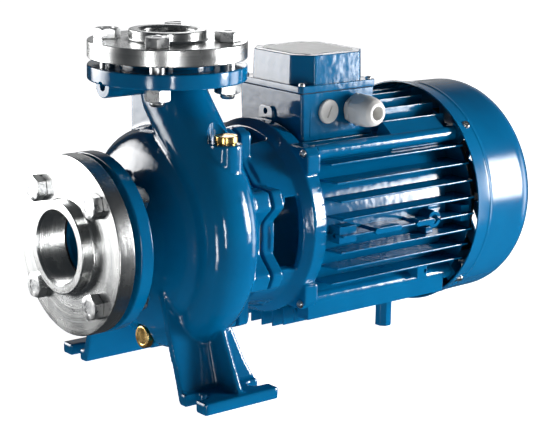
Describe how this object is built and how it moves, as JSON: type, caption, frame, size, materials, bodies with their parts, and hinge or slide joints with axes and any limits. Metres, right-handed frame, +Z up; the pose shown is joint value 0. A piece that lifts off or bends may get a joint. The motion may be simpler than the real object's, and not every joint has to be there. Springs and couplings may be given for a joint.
{
  "type": "centrifugal pump",
  "caption": "Close-coupled end-suction centrifugal pump with threaded counter-flanges, a cast volute on feet, an open lantern and a finned electric motor with a terminal box.",
  "frame": {"origin": "on the floor, under the middle of the pump's bounding box", "axes": "+X along the shaft from the suction branch to the motor's fan cover, +Z up along the delivery branch, -Y towards the side that the scroll runs out on"},
  "size_m": [0.574, 0.265, 0.3712],
  "materials": {
    "blue_paint": "gloss deep blue paint on cast iron",
    "stainless": "turned stainless steel",
    "bolt_steel": "bright bolt steel",
    "brass": "turned brass",
    "gasket_fibre": "dark fibre gasket",
    "white_plastic": "off-white plastic",
    "black_plastic": "black plastic and rubber",
    "shaft_steel": "ground steel"
  },
  "bodies": {
    "root": {"volute_casing": "blue_paint", "suction_branch": "blue_paint", "delivery_branch": "blue_paint", "near_foot": "blue_paint", "far_foot": "blue_paint", "suction_counter_flange": "stainless", "delivery_counter_flange": "stainless", "suction_gasket": "gasket_fibre", "delivery_gasket": "gasket_fibre", "suction_bolt_1": "bolt_steel", "suction_bolt_2": "bolt_steel", "suction_bolt_3": "bolt_steel", "suction_bolt_4": "bolt_steel", "suction_nut_1": "bolt_steel", "suction_nut_2": "bolt_steel", "suction_nut_3": "bolt_steel", "suction_nut_4": "bolt_steel", "delivery_bolt_1": "bolt_steel", "delivery_bolt_2": "bolt_steel", "delivery_bolt_3": "bolt_steel", "delivery_bolt_4": "bolt_steel", "delivery_nut_1": "bolt_steel", "delivery_nut_2": "bolt_steel", "delivery_nut_3": "bolt_steel", "delivery_nut_4": "bolt_steel", "filling_plug": "brass", "drain_plug": "brass", "impeller": "stainless", "pump_shaft": "shaft_steel", "casing_cover": "shaft_steel", "lantern_bracket": "blue_paint", "motor_frame": "blue_paint", "support_foot": "blue_paint", "rear_shield": "blue_paint", "cooling_fan": "black_plastic", "fan_cover": "blue_paint", "terminal_box": "blue_paint", "terminal_box_lid": "blue_paint", "blind_plug": "white_plastic", "cable_gland": "white_plastic"}
  },
  "joints": []
}
